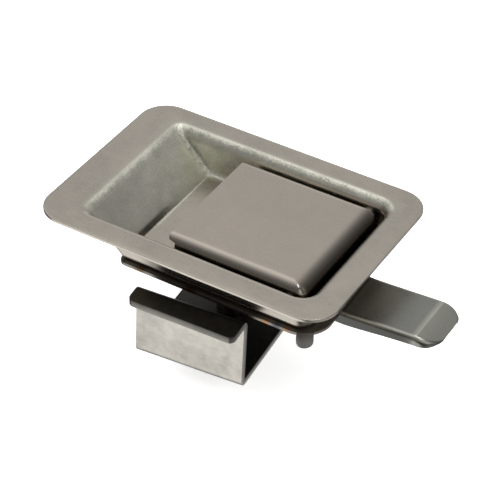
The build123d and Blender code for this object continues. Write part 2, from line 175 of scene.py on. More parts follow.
def wobble(point, size, amount, seed=0.0):
    """Smooth unevenness of the given size and height, in millimetres."""
    p = Vector((point[0] / size + seed, point[1] / size - seed, point[2] / size + 3 * seed))
    return amount * noise.noise(p)


def rounded_line(points, radii, segments=8):
    """A 2-D line whose inner corners are rounded."""
    line = [points[0]]
    for k in range(1, len(points) - 1):
        before, here, after = (Vector(points[k + d]) for d in (-1, 0, 1))
        back = (before - here).normalized()
        on = (after - here).normalized()
        radius = radii[k - 1]
        half = back.angle(on) / 2
        reach = radius / math.tan(half)
        centre = here + (back + on).normalized() * (radius / math.sin(half))
        first = here + back * reach - centre
        last = here + on * reach - centre
        swing = first.angle(last)
        for i in range(segments + 1):
            t = i / segments
            arm = (first * math.sin((1 - t) * swing) + last * math.sin(t * swing)) / math.sin(swing)
            line.append(tuple(centre + arm))
    line.append(points[-1])
    return line


def along(line, share):
    """Point at a share of a polyline's length."""
    lengths = [math.dist(a, b) for a, b in zip(line, line[1:])]
    target = share * sum(lengths)
    for (a, b), length in zip(zip(line, line[1:]), lengths):
        if target <= length or b is line[-1]:
            t = min(1.0, target / length) if length else 0
            return tuple(mix(p, q, t) for p, q in zip(a, b))
        target -= length
    return line[-1]


def rounded_ring(x0, x1, y0, y1, radii, sides=(44, 30), corner=10):
    """Plan outline, anticlockwise: radii are front right, back right, back left, front left."""
    centres = ((x1, y0, -90), (x1, y1, 0), (x0, y1, 90), (x0, y0, 180))
    arcs = []
    for (cx, cy, start), radius in zip(centres, radii):
        mx = cx + radius * (-1 if cx == x1 else 1)
        my = cy + radius * (-1 if cy == y1 else 1)
        arcs.append([
            (mx + radius * math.cos(math.radians(a)), my + radius * math.sin(math.radians(a)))
            for a in steps(start, start + 90, corner)
        ])
    ring = []
    for k in range(4):
        before = arcs[k - 1][-1]
        after = arcs[k][0]
        count = sides[k % 2]
        for i in range(1, count):
            t = i / count
            ring.append((mix(before[0], after[0], t), mix(before[1], after[1], t)))
        ring.extend(arcs[k])
    return ring


def tube(points, radius, sides=12):
    """Points and faces of a round wire along a smooth line, with domed ends."""
    rings = []
    side = None
    for k, point in enumerate(points):
        here = Vector(point)
        ahead = Vector(points[min(k + 1, len(points) - 1)]) - Vector(points[max(k - 1, 0)])
        ahead.normalize()
        if side is None:
            side = ahead.orthogonal().normalized()
        side = (side - ahead * side.dot(ahead)).normalized()
        other = ahead.cross(side)
        ring = []
        for a in steps(0, 2 * math.pi, sides)[:-1]:
            ring.append(here + radius * (math.cos(a) * side + math.sin(a) * other))
        rings.append(ring)
    for end, neighbour in ((0, 1), (-1, -2)):
        middle = Vector(points[end])
        out = (middle - Vector(points[neighbour])).normalized()
        domes = []
        for a in (30, 60, 85):
            shrink = math.cos(math.radians(a))
            push = 0.5 * radius * math.sin(math.radians(a))
            domes.append([middle + (p - middle) * shrink + out * push for p in rings[end]])
        rings = list(reversed(domes)) + rings if end == 0 else rings + domes
    flat = [tuple(p) for ring in rings for p in ring]
    faces = grid_faces(rings, True)
    faces.append(tuple(range(sides)))
    faces.append(tuple(reversed(range(len(flat) - sides, len(flat)))))
    return flat, faces


# ---------------------------------------------------------------- pan
SHEET = 1.0
DISH_RIGHT = 38.4
DISH_HALF = 24.1
RIM_LEFT = -35.5
KNEE_LEFT = -22.5
BREAK = (-23.6, -9.9)        # the finger slope steepens here


def build_pan():
    low, high = box_mm("pan")
    top = high.z
    floor = low.z + SHEET
    rim = 3.4
    fillet = 1.6
    draft = 0.35
    profile = rounded_line(
        [(RIM_LEFT - 6, top), (RIM_LEFT, top), BREAK, (KNEE_LEFT, floor), (KNEE_LEFT + 5, floor)],
        (4.6, 2.6, 0.5), 10)

    def left_at(z):
        """Where the finger slope stands at this height."""
        for (ax, az), (bx, bz) in zip(profile[1:], profile[2:]):
            if az >= z >= bz and az > bz:
                return mix(ax, bx, (az - z) / (az - bz))
        return profile[1][0] if z >= top - 0.001 else profile[-2][0]

    def wall_in(z):
        """How far the steep walls stand outside the dish's nominal wall line at this height."""
        lean = draft * (top - z) / (top - floor)
        if z > top - rim:
            return rim - rim * math.sin(math.acos(1 - (top - z) / rim)) - lean
        if z < floor + fillet:
            return -fillet + fillet * math.sin(math.acos(max(-1, 1 - (z - floor) / fillet))) - lean
        return -lean

    def rearward(y):
        """0 on the front part of the finger slope, 1 on the back part."""
        return ease((y + 8) / 16)

    heights = [top - rim * (1 - math.cos(math.radians(a))) for a in steps(0, 90, 12)]
    heights += steps(top - rim, BREAK[1] + 2.0, 7)[1:]
    heights += steps(BREAK[1] + 2.0, floor + fillet, 7)[1:]
    heights += [floor + fillet * (1 - math.cos(math.radians(a))) for a in steps(90, 0, 9)][1:]

    def dish_ring(z):
        out = wall_in(z)
        right_corner = max(2.2, 4.5 + out)
        left_corner = max(0.9, 1.6 + 0.6 * out)
        ring = rounded_ring(left_at(z), DISH_RIGHT + out, -DISH_HALF - out, DISH_HALF + out,
                            (right_corner, right_corner, left_corner, left_corner))
        dent = 0.14 * math.sin(math.pi * min(1, max(0, (top - z) / (top - floor))))
        # Towards the back the finger slope runs straight to the floor, without the steeper foot.
        straight = mix(RIM_LEFT, KNEE_LEFT, (top - z) / (top - floor)) - left_at(z)
        straight *= ease((top - z - 2) / 3)
        shaped = []
        for x, y in ring:
            shift = straight * rearward(y) * (1 - ease((x - left_at(z)) / 6))
            shaped.append((x + shift + dent * wobble((x, y, z), 9, 1.0, 4.0),
                           y + dent * wobble((x, y, z), 11, 1.0, 8.0), z))
        return shaped

    rings = []
    opening = dish_ring(top)
    outline = rounded_ring(low.x, high.x, low.y, high.y, (9, 9, 9, 9))
    for t in steps(0, 1, 9)[:-1]:
        ring = []
        for (ox, oy), (ix, iy, _) in zip(outline, opening):
            x = mix(ox, ix, t)
            y = mix(oy, iy, t)
            inside = min(1.0, 4 * t)
            lift = inside * wobble((x, y, 0), 21, 0.12) * (1 - t) ** 0.3 - 0.16 * (1 - t) ** 3
            ring.append((x, y, top + lift))
        rings.append(ring)
    rings += [dish_ring(z) for z in heights]
    floor_ring = rings[-1]
    slot = rounded_ring(18.8, 30.4, -5, 5, (0.4,) * 4)
    # The extra ring close to the wall keeps the crease's shading narrow.
    for t in [0.02] + steps(0, 1, 10)[1:]:
        ring = []
        for (ox, oy, _), (ix, iy) in zip(floor_ring, slot):
            x = mix(ox, ix, t)
            y = mix(oy, iy, t)
            ring.append((x, y, floor + wobble((x, y, 0), 15, 0.06, 2.0) * math.sin(math.pi * t)))
        rings.append(ring)
    points = [p for ring in rings for p in ring]
    faces = grid_faces(rings, True)
    piece = mesh_piece("pan_shell", points, faces, "housing", "pan")
    thicken(piece, SHEET, 0.13, 3)
    settle(piece)

    def inside(p):
        """True on the dish's own upper surface, not on the flange or the underside."""
        z = min(top, max(floor, p.z))
        out = wall_in(z) + 0.45
        if p.z > top - 0.02 and (abs(p.y) > DISH_HALF + rim + 0.6 or p.x > DISH_RIGHT + rim + 0.6):
            return False
        left = left_at(z) - 0.45 - 1.2 * rearward(p.y)
        return abs(p.y) < DISH_HALF + out and left < p.x < DISH_RIGHT + out

    def stretch_and_highlight(p):
        """1 where the press has stretched and roughened the sheet. It also carries painted light: brighter
        rim bends, a lighter back wall, painted highlights along the back-left mitre and the floor crease, and
        a painted glow low on the back wall.
        """
        if not inside(p):
            return 0.0
        depth = top - p.z
        from_back = p.y - DISH_HALF
        left_rim = ease((-26 - p.x) / 3) * ease((p.y + 25) / 3)
        back_rim = ease((from_back + 2.0) / 2.0)
        # Rim bends: stretched sheet, also made brighter as a painted highlight.
        bend = ease((depth + 0.05) / 0.4) * (1 - ease((depth - 0.5) / 1.7)) * max(left_rim, back_rim, 0.05)
        slope = 0.55 * ease(depth / 1.5) * (1 - ease((p.x + 22.8) / 0.6))
        slope *= 0.55 + 0.45 * ease((p.y + 24) / 30)
        # Back wall made lighter: painted light.
        back = ease((from_back + 3.5) / 2.5) * ease(depth / 0.6) * (1 - ease((p.x + 2) / 30))
        # Painted highlight along the back-left mitre crease.
        mitre_x = mix(RIM_LEFT, KNEE_LEFT, min(1, depth / (top - floor))) + 0.4
        mitre = ease(1.6 - math.hypot(p.x - mitre_x, from_back + 0.4) / 1.7) * ease(depth)
        # Painted highlight line along the crease at the foot of the finger slope.
        crease = 0.7 * (1 - ease(abs(p.x - KNEE_LEFT - 0.1) / 0.7))
        crease *= ease((depth - 10.5) / 0.8) * ease((p.y + 12) / 10)
        # Painted glow low on the back wall.
        painted_glow = 1.1 * (1 - ease(math.hypot((p.x + 17) / 8, (p.z + 9.5) / 3.5)))
        painted_glow *= ease(from_back + 2.5)
        return min(1.4, max(1.25 * bend, slope, 0.6 * back, 1.4 * mitre, crease, painted_glow))

    def painted_shade_at(p):
        """Painted shade: 1 on the outer wall and underside, less at the wall's two ends, and deep inside the
        dish along the front and right walls, by the paddle's gap.
        """
        if inside(p):
            front = ease((-p.y - DISH_HALF + 2.5) / 1.5) * ease((p.x + 18) / 4)
            right = ease((p.x - DISH_RIGHT + 3) / 2) * (1 - 0.7 * ease((p.y - 10) / 10))
            return ease((-1.4 - p.z) / 2) * max(front, right)
        if p.z > -0.15:
            return 0.0
        middle = ease((p.x + 17) / 6) * (1 - ease((p.x - 20) / 6))
        return 0.25 + 0.75 * middle

    store(piece, "painted_shade", painted_shade_at)
    store(piece, "stretch_and_highlight", stretch_and_highlight)
    return piece


# ---------------------------------------------------------------- paddle
PADDLE_SIDE_BEND = 3.3
PADDLE_END_BEND = 5.6


def build_paddle():
    low, high = box_mm("paddle")
    half = high.y
    notch = 2.6
    free_corner = 2.0
    plan_corner = 2.6
    top = high.z
    left = low.x

    def start_at(y):
        """The free edge's own x, with its rounded corners."""
        pull = min(free_corner, max(0.0, abs(y) - (half - free_corner)))
        return left + free_corner - math.sqrt(free_corner ** 2 - pull ** 2)

    def contour(inset_side, inset_end, depth_side, depth_end, corner, start):
        """One U-shaped line round the lid, open at the free edge."""
        y = half - inset_side
        x = high.x - inset_end
        corner = min(corner, y)
        line = []
        for t in steps(0, 1, 40):
            line.append((mix(start, x - corner, t), -y, top - depth_side))
        for a in steps(-90, 0, 10)[1:-1]:
            z = top - mix(depth_side, depth_end, ease((a + 90) / 90))
            line.append((x - corner + corner * math.cos(math.radians(a)),
                         -y + corner + corner * math.sin(math.radians(a)), z))
        for t in steps(0, 1, 36):
            line.append((x, mix(-y + corner, y - corner, t), top - depth_end))
        mirrored = [(px, -py, pz) for px, py, pz in reversed(line[:len(line) - 37])]
        return line + mirrored

    rows = []
    for t in steps(0, 1, 16)[:-1]:
        inset_side = mix(half, PADDLE_SIDE_BEND, t)
        inset_end = mix(half, PADDLE_END_BEND, t)
        rows.append(contour(inset_side, inset_end, 0, 0, 0.4 * t, start_at(half - inset_side)))
    for a in steps(0, 90, 10):
        turned = math.radians(a)
        near = 1 - math.sin(turned)
        down = 1 - math.cos(turned)
        start = start_at(half - PADDLE_SIDE_BEND * near)
        if a > 57:
            start = left + notch
        rows.append(contour(PADDLE_SIDE_BEND * near, PADDLE_END_BEND * near, PADDLE_SIDE_BEND * down,
                            PADDLE_END_BEND * down, mix(0.4, plan_corner, 1 - near), start))
    for t in steps(0, 1, 6)[1:]:
        depth_side = mix(PADDLE_SIDE_BEND, top - low.z, t)
        depth_end = mix(PADDLE_END_BEND, top - low.z, t)
        rows.append(contour(0, 0, depth_side, depth_end, plan_corner, left + notch))
    waved = [[(x, y, z + (wobble((x, y, 0), 17, 0.07, 5.0) if z > top - 0.01 else 0)) for x, y, z in row]
             for row in rows]
    points = [p for row in waved for p in row]
    faces = grid_faces(waved, False)
    piece = mesh_piece("paddle_lid", points, faces, "paddle_lever", "paddle")
    face_up(piece)
    thicken(piece, SHEET, 0.22, 3)
    settle(piece)

    def painted_shade_at(p):
        """Painted shade: 1 on the skirts, the front bend and the far end's bend, which see only the dark gap;
        less at the front-right corner.
        """
        skirt = ease((top - 1.9 - p.z) / 1.6)
        end = ease((p.x - high.x + 0.95 * PADDLE_END_BEND) / (0.8 * PADDLE_END_BEND))
        front = 0.85 * ease((-p.y - half + 0.5 * PADDLE_SIDE_BEND) / (0.5 * PADDLE_SIDE_BEND))
        spot = ease((-p.y - half + 3) / 1.5) * ease((p.x - high.x + 3.6) / 1.5)
        spot *= ease(p.z - top + 2.6)
        return max(skirt, end, front) * (1 - 0.9 * spot)

    store(piece, "stretch_and_highlight", lambda p: 0.0)
    store(piece, "painted_shade", painted_shade_at)
    return piece


# ---------------------------------------------------------------- bolt
BOLT_SHEET = 1.5
ROD_DEPTH = 2.2              # the rod's centre line below the bolt's top


def build_bolt():
    low, high = box_mm("latch_bolt")
    half = high.y
    bend = 1.5
    depth = high.z - low.z
    tongue = 6.5             # the tip, which dips to ride over the strike
    corner = 5.6
    taper = 1.1              # the side flanges get this much shallower towards the tip
    taper_from = 40.0
    skew = 0.073             # the bolt stands slightly askew in its guide
    skew_from = 43.0
    tip_depth = 0.4
    dip = 1.9
    fold = high.x - tongue
    slot_left = 26.4         # the paddle's arm stands in this slot
    slot_right = 31.0
    slot_half = 4.6
    slot_share = slot_half / (half - bend)

    stations = steps(low.x, slot_left, 18)
    stations += steps(slot_left, slot_right, 4)[1:]
    stations += steps(slot_right, fold, 20)[1:]
    stations += steps(fold, high.x - corner, 4)[1:]
    stations += [high.x - corner + corner * math.sin(math.radians(a)) for a in steps(0, 88, 26)][1:]
    rows = []
    for x in stations:
        share = max(0.0, (x - fold) / tongue)
        droop = dip * share ** 1.2
        flange = depth - taper * ease((x - taper_from) / (fold - taper_from))
        bottom = mix(flange, dip + tip_depth, ease(2 * share - 1))
        drop = max(tip_depth, bottom - droop)
        outline = half
        if x > high.x - corner:
            outline = half - corner + math.sqrt(max(0.0, corner ** 2 - (x - (high.x - corner)) ** 2))
        turn = math.pi / 2 if drop >= bend else math.acos(1 - drop / bend)
        flat = outline - bend * math.sin(turn)
        edge = [(flat + bend * math.sin(a), -bend * (1 - math.cos(a))) for a in steps(0, turn, 10)]
        if drop > bend:
            edge.append((outline, -drop))
        side = [(flat * t, 0.0) for t in steps(0, slot_share, 5) + steps(slot_share, 1, 7)[1:-1]]
        side += [along(edge, t) for t in steps(0, 1, 14)]
        crown = 0.05
        row = [(x, -y, high.z + z - droop - crown) for y, z in reversed(side)]
        row += [(x, y, high.z + z - droop - crown) for y, z in side[1:]]
        aside = skew * max(0.0, x - skew_from)
        rows.append([(px, py + aside, pz + wobble((px, py, 0), 13, 0.04, 6.0)) for px, py, pz in row])
    points = [p for row in rows for p in row]

    def in_slot(face):
        x = sum(points[k][0] for k in face) / len(face)
        y = sum(points[k][1] for k in face) / len(face)
        return slot_left < x < slot_right and abs(y) < slot_half

    faces = [face for face in grid_faces(rows, False) if not in_slot(face)]
    piece = mesh_piece("bolt_channel", points, faces, "bolt", "latch_bolt")
    face_up(piece)
    thicken(piece, BOLT_SHEET, 0.28, 3)
    settle(piece)

    # A groove under the rear end clears the rod.
    for vertex in piece.data.vertices:
        p = vertex.co / MM
        if p.z < high.z - 0.9 and abs(p.y) < 1.3:
            vertex.co.z += 0.45 * (1 - abs(p.y) / 1.3) * (1 - ease((p.x - low.x - 8.5) / 1.5)) * MM

    def off_middle(p):
        return abs(p.y - skew * max(0.0, p.x - skew_from))

    def painted_shade_at(p):
        """Painted shade: 1 near the housing, falling to 0 at the tip; the side flanges are also made darker.
        """
        flange = 2.1 * ease((off_middle(p) - half + 1.1) / 0.5) * ease((high.z - 0.25 - p.z) / 0.4)
        return max(1 - ease((p.x - 38.0) / 26.0), flange * (1 - 0.5 * ease((p.x - 60) / 6)))

    def stretch_and_highlight(p):
        """1 along the bends, stretched sheet with a painted highlight; a painted highlight line at the
        tongue's fold, and a little painted light over the tongue.
        """
        side = 0.75 * ease((off_middle(p) - half + 1.2) / 0.6) * ease((p.z - high.z + 1.5) / 0.8)
        line = 0.32 * (1 - ease(abs(p.x - fold) / 0.8))
        return max(side, line, 0.14 * ease((p.x - fold) / 0.8))

    store(piece, "stretch_and_highlight", stretch_and_highlight)
    store(piece, "painted_shade", painted_shade_at)
    return piece


def build_bolt_tab():
    """The tab under the bolt's rear end that the spring pushes on, with a hole for the rod."""
    low, high = box_mm("latch_bolt")
    hole = 1.2
    rod_z = high.z - ROD_DEPTH
    outline = rounded_ring(-5.0, 5.0, low.z, high.z - 0.8, (1.0, 0.2, 0.2, 1.0), (16, 8), 6)
    rings = []
    for t in steps(0, 1, 4):
        ring = []
        for y, z in outline:
            away = math.hypot(y, z - rod_z)
            hole_z = rod_z + (z - rod_z) / away * hole
            ring.append((low.x + BOLT_SHEET, mix(y, y / away * hole, t), mix(z, hole_z, t)))
        rings.append(ring)
    points = [p for ring in rings for p in ring]
    faces = grid_faces(rings, True)
    piece = mesh_piece("bolt_tab", points, faces, "bolt", "latch_bolt")
    bm = bmesh.new()
    bm.from_mesh(piece.data)
    if sum(f.normal.x for f in bm.faces) < 0:
        bmesh.ops.reverse_faces(bm, faces=bm.faces)
    bm.to_mesh(piece.data)
    bm.free()
    thicken(piece, BOLT_SHEET, 0.15, 2)
    return settle(piece)


# ---------------------------------------------------------------- clamp bracket
def build_bracket():
    low, high = box_mm("clamp_bracket")
    sheet = 2.2
    half_span = 30.5
    height = 22.3
    lean = math.radians(2.5)
    fall = math.radians(2.0)
    inner = 0.6
    half = 34.4 / 2
    long_foot = 9.4
    short_foot = 7.8
    foot_corner = 1.9
    yaw = math.radians(5.0)
    stud_x = 1.0
    base = low.z

    wall_top = (half_span - height * math.tan(lean), height)
    stations = [-half + foot_corner * (1 - math.cos(math.radians(a))) for a in steps(0, 90, 8)]
    stations += steps(-half + foot_corner, half - foot_corner, 30)[1:-1]
    stations += [-x for x in reversed(stations[:9])]

    def foot_length(x, side):
        """A foot's length from the wall's inner face: near is longer at the right, far at the left."""
        length = mix(short_foot, long_foot, (half - side * x) / (2 * half))
        over = max(0.0, abs(x) - (half - foot_corner))
        return length - foot_corner + math.sqrt(max(0.0, foot_corner ** 2 - over ** 2))

    rows = []
    for x in stations:
        sides = []
        for side in (-1, 1):
            reach = foot_length(x, side) - sheet
            foot_end = (wall_top[0] + reach * math.cos(fall), wall_top[1] - reach * math.sin(fall))
            corners = [(0.0, 0.0), (half_span, 0.0), wall_top, foot_end]
            line = rounded_line(corners, (inner + sheet, inner), 6)
            bend_start, bend_end = line[1], line[7]
            knee_start, knee_end = line[8], line[14]
            path = [(mix(5.0, bend_start[0], t), 0.0) for t in steps(0, 1, 12)[:-1]]
            path += line[1:7]
            for t in steps(0, 1, 16)[:-1]:
                path.append(tuple(mix(p, q, t) for p, q in zip(bend_end, knee_start)))
            path += line[8:14]
            for t in steps(0, 1, 6):
                path.append(tuple(mix(p, q, t) for p, q in zip(knee_end, foot_end)))
            sides.append(path)
        near = [(-y, z) for y, z in reversed(sides[0])]
        row = near + [(y, z) for y, z in ((-2.5, 0.0), (0.0, 0.0), (2.5, 0.0))] + sides[1]
        placed = []
        for y, z in row:
            bulge = wobble((x, y, z), 14, 0.08, 11.0)
            px = stud_x + x * math.cos(yaw) - (y + bulge) * math.sin(yaw)
            py = x * math.sin(yaw) + (y + bulge) * math.cos(yaw)
            placed.append((px, py, base + z))
        rows.append(placed)
    points = [p for row in rows for p in row]
    piece = mesh_piece("bracket_sheet", points, grid_faces(rows, False), "bracket",
                       "clamp_bracket")
    face_up(piece)
    thicken(piece, sheet, 0.42, 3, offset=1)
    settle(piece)

    def painted_shade_at(p):
        """Painted shade: 1 on the inside and on top of the feet, 0 on the outer faces of the walls."""
        y = abs(p.y * math.cos(yaw) - (p.x - stud_x) * math.sin(yaw))
        rise = p.z - base
        outer = half_span - rise * math.tan(lean)
        foot = 0.95 * ease((rise - height + 0.9) / 0.9) + 0.40 * ease((rise - height - 1.5) / 0.5)
        within = 1.35 * ease((outer - 0.7 - y) / 0.8) * ease((rise - 0.5) / 0.9)
        return max(foot, within)

    store(piece, "painted_shade", painted_shade_at)
    store(piece, "stretch_and_highlight", lambda p: 0.35 * ease((p.z - high.z + 2.0) / 1.5))
    return piece


# ---------------------------------------------------------------- threaded stud
def build_stud():
    low, high = box_mm("clamp_stud")
    pitch = 1.0
    crest = 2.97
    root = 2.42
    around = 30
    x0 = 1.0
    foot_top = high.z
    plain_top = foot_top - 0.8
    rows = []
    levels = steps(low.z, plain_top - 2.0, int((plain_top - 2.0 - low.z) / (pitch / 8)))
    for z in levels:
        ring = []
        for k in range(around):
            turn = k / around
            angle = 2 * math.pi * turn
            phase = ((z - low.z) / pitch - turn) % 1.0
            ridge = min(1.0, max(0.0, 1.35 * (1 - abs(2 * phase - 1)) - 0.12))
            radius = mix(root, crest, ridge)
            limit = min(1.0, 0.35 + (z - low.z) / 1.1)
            radius = min(radius, mix(root - 0.5, crest, limit))
            run_in = ease((plain_top - 2.0 - z) / 1.2)
            radius = mix(crest - 0.1, radius, run_in)
            ring.append((x0 + radius * math.cos(angle), radius * math.sin(angle), z))
        rows.append(ring)
    head = (
        (crest - 0.1, plain_top - 0.3),
        (crest + 0.5, plain_top + 0.05),
        (4.2, plain_top + 0.12),
        (4.5, plain_top + 0.4),
        (4.5, foot_top),
    )
    for radius, z in head:
        rows.append([(x0 + radius * math.cos(2 * math.pi * k / around),
                      radius * math.sin(2 * math.pi * k / around), z) for k in range(around)])
    points = [p for row in rows for p in row]
    faces = grid_faces(rows, True)
    faces.append(tuple(reversed(range(around))))
    faces.append(tuple(range(len(points) - around, len(points))))
    piece = mesh_piece("stud_thread", points, faces, "housing", "clamp_stud")
    face_up(piece, closed=True)
    piece.data.set_sharp_from_angle(angle=math.radians(60))
    return piece


# ---------------------------------------------------------------- springs
def coil_line(radius, turns, length, per_turn=24):
    """Points of a helix about Z, from z = 0."""
    count = int(turns * per_turn)
    line = []
    for k in range(count + 1):
        angle = 2 * math.pi * turns * k / count
        line.append((radius * math.cos(angle), radius * math.sin(angle), length * k / count))
    return line


def build_bolt_spring():
    low, high = box_mm("bolt_spring")
    wire = 0.6
    coil = 1.7
    middle = (low.z + high.z) / 2
    start = low.x + wire / 2
    end = high.x - wire / 2
    line = [(start + z, x, middle + y) for x, y, z in coil_line(coil, 9, end - start)]
    points, faces = tube(line, wire / 2)
    piece = mesh_piece("bolt_coil", points, faces, "housing", "bolt_spring")
    face_up(piece, closed=True)
    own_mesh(piece)
    return piece


def build_paddle_spring():
    wire = 0.8
    coil = 2.4
    pin_x = 31.0
    pin_z = -4.5
    start = 8.0
    turns = 4.5
    leg = 9.8
    line = [(pin_x + y, start + z, pin_z + x) for x, y, z in coil_line(coil, turns, turns)]
    line = [(2 * pin_x - x, y, z) for x, y, z in line] if line[1][0] < pin_x else line
    first, last = line[0], line[-1]
    line = [(first[0] - leg * (1 - t), first[1], first[2]) for t in steps(0, 1, 8)[:-1]] + line
    line += [(last[0] - leg * t, last[1], last[2]) for t in steps(0, 1, 8)[1:]]
    points, faces = tube(line, wire / 2)
    piece = mesh_piece("paddle_coil", points, faces, "housing", "paddle_spring")
    face_up(piece, closed=True)
    return piece


# ---------------------------------------------------------------- small parts taken from their CAD shape
def refined(node, body, edge, trim=None):
    """A CAD part with its sharp corners broken. trim, if given, says how far a point moves along X, in mm."""
    mesh = NODES[node].data.copy()
    if trim:
        for vertex in mesh.vertices:
            vertex.co.x += trim(vertex.co / MM) * MM
    mesh.name = node + "_part"
    mesh.materials.clear()
    for attribute in list(mesh.attributes):
        if attribute.name in ("custom_normal", "sharp_edge", "sharp_face"):
            mesh.attributes.remove(attribute)
    bm = bmesh.new()
    bm.from_mesh(mesh)
    bmesh.ops.remove_doubles(bm, verts=bm.verts, dist=0.002 * MM)
    bmesh.ops.dissolve_limit(bm, angle_limit=math.radians(0.6), verts=bm.verts, edges=bm.edges)
    bm.to_mesh(mesh)
    bm.free()
    piece = add_object(node + "_part", mesh, body, node)
    soften(piece, edge, angle=32)
    return settle(piece, 30)


# ---------------------------------------------------------------- materials
class Metal:
    """A worked-metal material, put together from noise layers at the sizes real sheet shows."""

    def __init__(self, name, colour, rough):
        self.made = bpy.data.materials.new(name)
        self.made.use_nodes = True
        self.nodes = self.made.node_tree.nodes
        self.links = self.made.node_tree.links
        self.shader = self.nodes["Principled BSDF"]
        self.shader.inputs["Metallic"].default_value = 1.0
        self.place = self.nodes.new("ShaderNodeTexCoord").outputs["Object"]
        self.colour = colour
        self.tone = 1.0
        self.rough = rough
        self.height = 0.0
        self.tint = None

    def join(self, socket, value):
        if isinstance(value, (int, float, tuple)):
            socket.default_value = value
        else:
            self.links.new(value, socket)

    def math(self, kind, a, b, clamp=False):
        node = self.nodes.new("ShaderNodeMath")
        node.operation = kind
        node.use_clamp = clamp
        self.join(node.inputs[0], a)
        self.join(node.inputs[1], b)
        return node.outputs[0]

    def ramp(self, value, low, high):
        """0 at low, 1 at high, with soft ends."""
        node = self.nodes.new("ShaderNodeMapRange")
        node.interpolation_type = "SMOOTHSTEP"
        self.join(node.inputs["Value"], value)
        node.inputs["From Min"].default_value = low
        node.inputs["From Max"].default_value = high
        return node.outputs["Result"]

    def noise(self, size, detail=3.0, stretch=None, roughness=0.55):
        """Noise centred on 0, with features about this many millimetres across."""
        node = self.nodes.new("ShaderNodeTexNoise")
        node.inputs["Scale"].default_value = 1000.0 / size
        node.inputs["Detail"].default_value = detail
        node.inputs["Roughness"].default_value = roughness
        vector = self.place
        if stretch:
            mapping = self.nodes.new("ShaderNodeMapping")
            mapping.inputs["Scale"].default_value = stretch
            self.links.new(vector, mapping.inputs["Vector"])
            vector = mapping.outputs["Vector"]
        self.links.new(vector, node.inputs["Vector"])
        return self.math("SUBTRACT", node.outputs["Fac"], 0.5)

    def shade(self, layer, amount, rough=0.0, height=0.0):
        """Adds a layer to the tone, the roughness and the relief."""
        if amount:
            self.tone = self.math("ADD", self.tone, self.math("MULTIPLY", layer, amount))
        if rough:
            self.rough = self.math("ADD", self.rough, self.math("MULTIPLY", layer, rough))
        if height:
            self.height = self.math("ADD", self.height, self.math("MULTIPLY", layer, height))

    def darken(self, name, amount):
        """Scales the tone down where a stored attribute is high."""
        share = self.math("MULTIPLY", self.attribute(name), amount)
        self.tone = self.math("MULTIPLY", self.tone, self.math("SUBTRACT", 1.0, share))

    def attribute(self, name):
        node = self.nodes.new("ShaderNodeAttribute")
        node.attribute_name = name
        return node.outputs["Fac"]

    def near(self, x, y, z, radii):
        """1 at a place in millimetres, falling to 0 at the given radii along X, Y and Z."""
        move = self.nodes.new("ShaderNodeVectorMath")
        move.operation = "SUBTRACT"
        self.links.new(self.place, move.inputs[0])
        move.inputs[1].default_value = (x * MM, y * MM, z * MM)
        scale = self.nodes.new("ShaderNodeVectorMath")
        scale.operation = "MULTIPLY"
        self.links.new(move.outputs[0], scale.inputs[0])
        scale.inputs[1].default_value = tuple(1 / (r * MM) for r in radii)
        length = self.nodes.new("ShaderNodeVectorMath")
        length.operation = "LENGTH"
        self.links.new(scale.outputs[0], length.inputs[0])
        return self.ramp(length.outputs["Value"], 1.0, 0.25)

    def blend(self, factor, colour):
        """Tints the metal with another colour where the factor is high."""
        node = self.nodes.new("ShaderNodeMix")
        node.data_type = "RGBA"
        self.join(node.inputs[0], factor)
        self.join(node.inputs[6], self.tint if self.tint is not None else (*self.colour, 1.0))
        self.join(node.inputs[7], (*colour, 1.0))
        self.tint = node.outputs[2]

    def finish(self, relief):
        """relief is the height, in micrometres, that the summed layers stand for."""
        scaled = self.nodes.new("ShaderNodeVectorMath")
        scaled.operation = "SCALE"
        self.join(scaled.inputs[0], self.tint if self.tint is not None else self.colour)
        self.join(scaled.inputs["Scale"], self.tone)
        self.links.new(scaled.outputs["Vector"], self.shader.inputs["Base Color"])
        self.join(self.shader.inputs["Roughness"], self.rough)
        bump = self.nodes.new("ShaderNodeBump")
        bump.inputs["Strength"].default_value = 1.0
        bump.inputs["Distance"].default_value = relief * 1e-6
        self.links.new(self.height, bump.inputs["Height"])
        self.links.new(bump.outputs["Normal"], self.shader.inputs["Normal"])
        return self.made


def sheet_steel(name, colour, rough, painted_shade, mottle=1.0, grain=(1.0, 4.0, 4.0), sparkle=1.0, patch=14.0):
    """Pressed stainless sheet: cloudy marks, rolling grain, and orange peel where it is stretched, with
    painted highlights and painted shade read from stored attributes.

    The fourth argument is the share of its tone that the painted shade takes away where its stored attribute
    is 1.
    """
    metal = Metal(name, colour, rough)
    stretch_and_highlight = metal.attribute("stretch_and_highlight")
    # The stretch attribute tints the sheet light and warm: partly stretched metal, partly painted highlight.
    metal.blend(metal.math("MULTIPLY", stretch_and_highlight, 1.6, True), (0.87, 0.855, 0.735))
    metal.shade(metal.noise(2.2 * patch, 2.0), 0.20 * mottle, 0.06)
    metal.shade(metal.noise(patch / 2.5, 4.0), 0.15 * mottle, 0.10)
    metal.shade(metal.noise(2.4, 2.0, grain, 0.6), 0.07 * mottle, 0.10, 0.12)
    metal.shade(metal.noise(0.7, 1.0), 0.04, 0.05)
    peel = metal.math("MULTIPLY", stretch_and_highlight, metal.noise(0.62, 2.0, None, 0.75))
    metal.shade(peel, 0.8 * sparkle, -0.25, 20.0 * sparkle)
    metal.shade(metal.math("MULTIPLY", stretch_and_highlight, metal.noise(5.0, 3.0)), 1.0 * sparkle)
    metal.shade(stretch_and_highlight, -0.02, 0.10)
    # Painted shade: the tone drops where the stored shade attribute is high.
    metal.darken("painted_shade", painted_shade)
    return metal


def plain_metal(name, colour, rough, patch=5.0, grain=None):
    """Turned, plated or drawn parts."""
    metal = Metal(name, colour, rough)
    metal.shade(metal.noise(patch, 4.0), 0.30, 0.14, 0.2)
    metal.shade(metal.noise(0.8, 3.0, grain, 0.6), 0.14, 0.14, 0.5)
    return metal.finish(4.0)


def paint(piece, made):
    piece.data.materials.clear()
    piece.data.materials.append(made)


